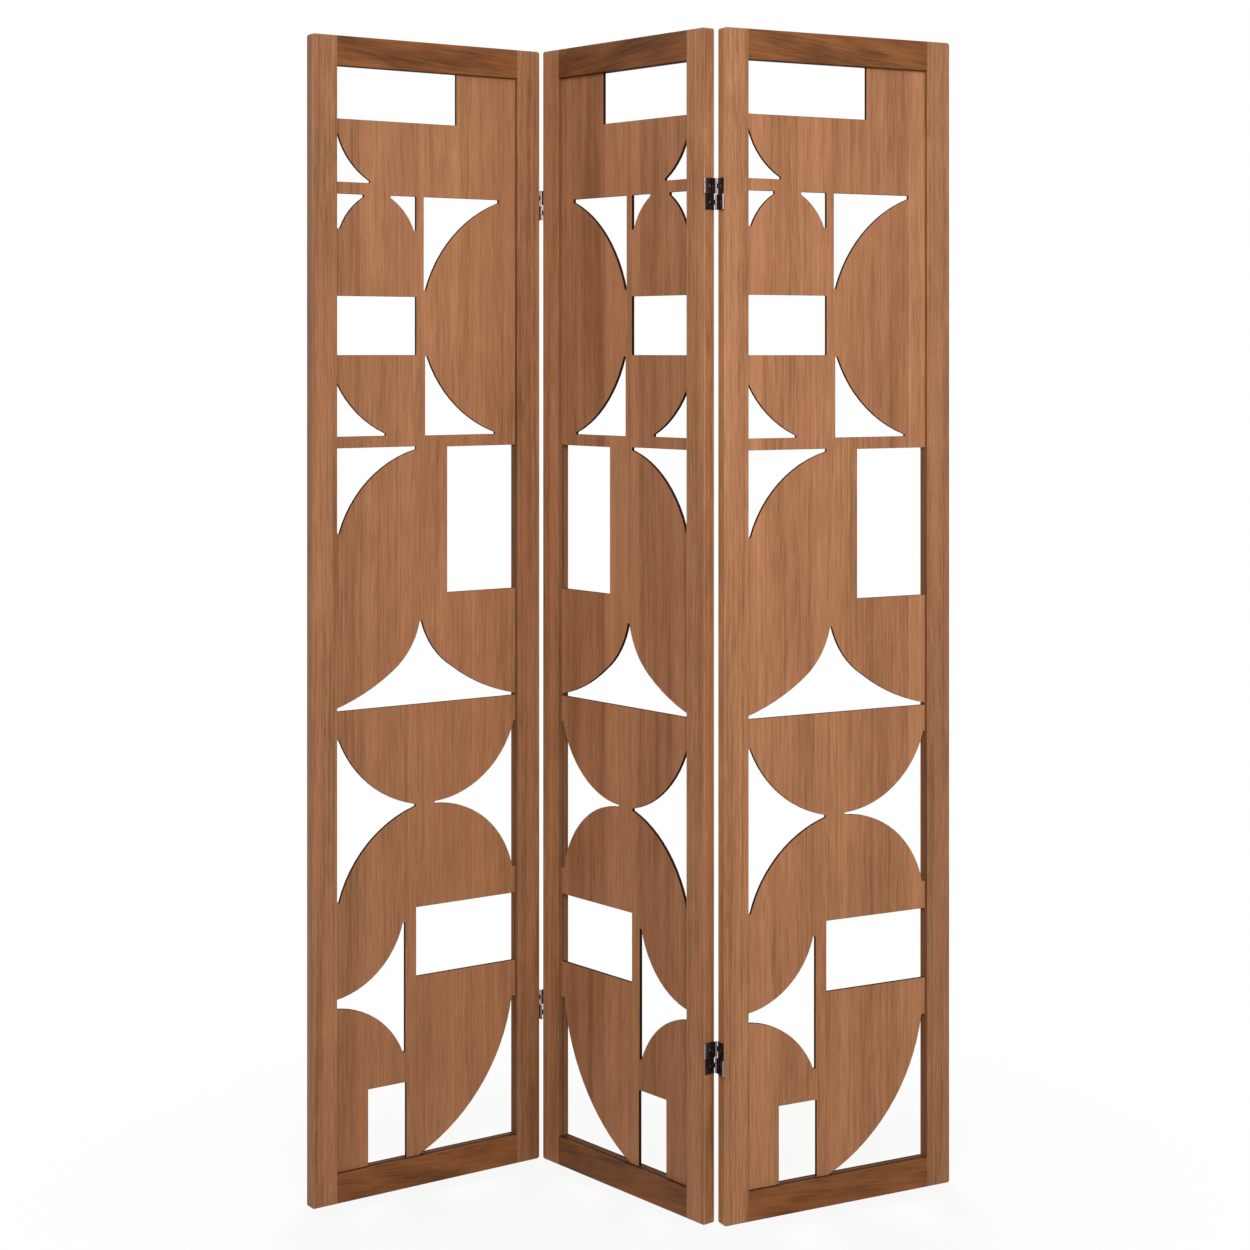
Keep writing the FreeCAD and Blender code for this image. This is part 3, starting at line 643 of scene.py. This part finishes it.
def wood_material(name, look):
    material = bpy.data.materials.new(name)
    material.use_nodes = True
    tree = material.node_tree
    shader = tree.nodes["Principled BSDF"]
    shader.inputs["Specular IOR Level"].default_value = SHINE
    shader.inputs["Coat Roughness"].default_value = VARNISH_ROUGHNESS
    place = node_in(tree, "ShaderNodeAttribute", attribute_name="grain")
    dark = node_in(tree, "ShaderNodeAttribute", attribute_name="burn_and_shade").outputs["Fac"]
    tone = node_in(tree, "ShaderNodeAttribute", attribute_name="tone").outputs["Fac"]
    grain = node_in(tree, "ShaderNodeGroup", node_tree=wood_grain)
    tree.links.new(place.outputs["Vector"], grain.inputs["Grain"])
    for word, value in look.items():
        grain.inputs[word].default_value = value
    # Each plank's tone, partly painted light and shade, scales its colour.
    toned = node_in(tree, "ShaderNodeVectorMath", {0: grain.outputs["Color"], "Scale": tone},
                    operation="SCALE").outputs[0]
    # The burnt rim and the painted shade of the frame's inner sides both mix towards the burnt
    # colour.
    tree.links.new(mix_in(tree, dark, toned, BURNT_AND_SHADE), shader.inputs["Base Color"])
    rough = node_in(tree, "ShaderNodeMix", {0: dark, 2: grain.outputs["Roughness"],
                                            3: BURNT_ROUGHNESS}, data_type="FLOAT")
    tree.links.new(rough.outputs[0], shader.inputs["Roughness"])
    # The painted shade and the burnt rim thin the coat of varnish, down to none.
    tree.links.new(ramp_in(tree, dark, 0.0, FLUSH_RIM, VARNISH[name], 0.0),
                   shader.inputs["Coat Weight"])
    tree.links.new(bump_in(tree, grain.outputs["Height"], PORE_DEPTH, PORE_STRENGTH),
                   shader.inputs["Normal"])
    return material


woods = {name: wood_material(name, look) for name, look in WOODS.items()}


def dress(piece, material):
    piece.data.materials.clear()
    piece.data.materials.append(material)


def wood_slot(node):
    return {"stile": "stile_wood", "rail": "rail_wood"}.get(node.split("_")[-1], "insert_wood")


for node, piece in finished.items():
    if "_panel_" in node:
        dress(piece, woods[wood_slot(node)])
print("woods", ", ".join(woods))

# %% [markdown]
# The hinges are dark bronze: nearly black in the flats and pinkish on the knuckles, partly wear
# where they rub and partly a painted highlight. The screws and pins are right as packed, so
# those nodes stay and only get their metal. The pattern reads Object coordinates, because
# nothing about it follows the surface.

# %% Metals
METALS = {
    "hinge_metal": ((0.062, 0.046, 0.046, 1), (0.15, 0.11, 0.10, 1), 0.36),
    "screw_metal": ((0.26, 0.235, 0.205, 1), (0.42, 0.37, 0.33, 1), 0.32),
    "pin_metal": ((0.25, 0.23, 0.21, 1), (0.42, 0.38, 0.35, 1), 0.30),
}
# The knuckles' colour: partly wear where they rub, partly a painted highlight.
KNUCKLE_WEAR_AND_HIGHLIGHT = (0.30, 0.21, 0.205, 1)
PATCH_SCALE, SPECK_SCALE = (160, 160, 160), (1400, 1400, 1400)
PATCH_START, PATCH_FULL = 0.48, 0.75
SPECK_ROUGHNESS, SPECK_MIDDLE = 0.25, 0.12
SPECK_DEPTH, SPECK_STRENGTH = 0.00005, 0.4


def metal_material(name, dark, rubbed, roughness):
    material = bpy.data.materials.new(name)
    material.use_nodes = True
    tree = material.node_tree
    shader = tree.nodes["Principled BSDF"]
    shader.inputs["Metallic"].default_value = 1.0
    place = node_in(tree, "ShaderNodeTexCoord").outputs["Object"]
    patches = noise_in(tree, place, PATCH_SCALE, 3, 0.6)
    specks = noise_in(tree, place, SPECK_SCALE, 2)
    knuckle = node_in(tree, "ShaderNodeAttribute", attribute_name="rubbed").outputs["Fac"]
    finish = mix_in(tree, ramp_in(tree, patches, PATCH_START, PATCH_FULL), dark, rubbed)
    # The knuckles take the lighter colour, as wear and as a painted highlight.
    tree.links.new(mix_in(tree, knuckle, finish, KNUCKLE_WEAR_AND_HIGHLIGHT), shader.inputs["Base Color"])
    rough = math_in(tree, "MULTIPLY_ADD", specks, SPECK_ROUGHNESS, roughness - SPECK_MIDDLE)
    tree.links.new(rough, shader.inputs["Roughness"])
    tree.links.new(bump_in(tree, specks, SPECK_DEPTH, SPECK_STRENGTH), shader.inputs["Normal"])
    return material


metals = {name: metal_material(name, *look) for name, look in METALS.items()}


def metal_slot(node):
    return {"screws": "screw_metal", "pins": "pin_metal"}.get(node.split("_")[-1],
                                                              "hinge_metal")


for name, node in nodes.items():
    if "_hinge_" in name:
        dress(finished.get(name, node), metals[metal_slot(name)])
print("metals", ", ".join(metals))

# %% [markdown]
# The dowels never show. They are pale beech, straight from the rod.

# %% Dowels
BEECH_DARK, BEECH_LIGHT = (0.42, 0.27, 0.15, 1), (0.58, 0.41, 0.25, 1)
BEECH_ROUGHNESS = 0.6
FLECK_SCALE = (300, 300, 300)


def beech_material():
    material = bpy.data.materials.new("dowel_wood")
    material.use_nodes = True
    tree = material.node_tree
    shader = tree.nodes["Principled BSDF"]
    place = node_in(tree, "ShaderNodeTexCoord").outputs["Object"]
    flecks = noise_in(tree, place, FLECK_SCALE, 2)
    tree.links.new(mix_in(tree, flecks, BEECH_DARK, BEECH_LIGHT), shader.inputs["Base Color"])
    shader.inputs["Roughness"].default_value = BEECH_ROUGHNESS
    return material


beech = beech_material()
for leaf in LEAVES:
    dress(nodes[leaf + "_panel_dowels"], beech)
print("dowels", len(LEAVES))

# %% [markdown]
# The picture is a cut-out on white. A wide pale floor keeps a faint shadow but throws little
# light back, and the world is white to the eye but gentler to the object. Reflections show both
# as the eye sees them. One large soft lamp in front hangs higher than the screen, so that
# undersides stay dark and the light fades towards the floor, as in the photograph. It points at
# the floor, which keeps the top from getting too much. A second one lights the back.

# %% Floor, lights and world
FLOOR_SIDE = 160
SEEN_WHITE = 1.0
FLOOR_COLOUR = (0.9, 0.9, 0.9, 1)
BOUNCE_COLOUR = (0.26, 0.20, 0.12, 1)
VEIL, SHADOW_NEAR, SHADOW_FAR = 0.85, 0.5, 1.1
WORLD_LIGHT = 0.42
LAMPS = {"key": ((0.1, -2.8, 2.35), 73), "back": ((-0.1, 2.8, 2.5), 60)}
LAMP_SIDE, LAMP_TARGET = 1.3, (0, 0, -0.5)


def background_rays(tree):
    """1 for the rays that show the background, straight, mirrored or through glass."""
    path = node_in(tree, "ShaderNodeLightPath").outputs
    return math_in(tree, "MAXIMUM", path["Is Camera Ray"], math_in(
        tree, "MAXIMUM", path["Is Glossy Ray"], path["Is Transmission Ray"]))


def floor():
    bpy.ops.object.select_all(action="DESELECT")
    bpy.ops.mesh.primitive_plane_add(size=FLOOR_SIDE, location=(0, 0, 0))
    ground = bpy.context.active_object
    ground.name = "floor"
    material = bpy.data.materials.new("pale_floor")
    material.use_nodes = True
    tree = material.node_tree
    tree.nodes.remove(tree.nodes["Principled BSDF"])
    seen = background_rays(tree)
    matt = node_in(tree, "ShaderNodeBsdfDiffuse", {"Color": mix_in(
        tree, seen, BOUNCE_COLOUR, FLOOR_COLOUR)}).outputs[0]
    white = node_in(tree, "ShaderNodeEmission", {"Color": (1, 1, 1, 1),
                                                 "Strength": SEEN_WHITE}).outputs[0]
    away = node_in(tree, "ShaderNodeVectorMath", {0: node_in(
        tree, "ShaderNodeTexCoord").outputs["Object"]}, operation="LENGTH").outputs["Value"]
    veil = math_in(tree, "MULTIPLY", seen, ramp_in(tree, away, SHADOW_NEAR, SHADOW_FAR, VEIL))
    surface = node_in(tree, "ShaderNodeMixShader", {0: veil, 1: matt, 2: white}).outputs[0]
    tree.links.new(surface, tree.nodes["Material Output"].inputs["Surface"])
    dress(ground, material)


def lamp(name, place, watts):
    light = bpy.data.lights.new(name, "AREA")
    light.size, light.energy = LAMP_SIDE, watts
    holder = bpy.data.objects.new(name, light)
    bpy.context.scene.collection.objects.link(holder)
    holder.location = place
    aim = Vector(LAMP_TARGET) - Vector(place)
    holder.rotation_euler = aim.to_track_quat("-Z", "Y").to_euler()


def white_world():
    world = bpy.context.scene.world or bpy.data.worlds.new("world")
    bpy.context.scene.world = world
    world.use_nodes = True
    tree = world.node_tree
    seen = background_rays(tree)
    sky = tree.nodes["Background"]
    sky.inputs["Color"].default_value = (1, 1, 1, 1)
    tree.links.new(node_in(tree, "ShaderNodeMix", {0: seen, 2: WORLD_LIGHT, 3: SEEN_WHITE},
                           data_type="FLOAT").outputs[0], sky.inputs["Strength"])


floor()
white_world()
for name, (place, watts) in LAMPS.items():
    lamp(name, place, watts)
bpy.context.scene.view_settings.view_transform = "Standard"
print("lamps", len(LAMPS))
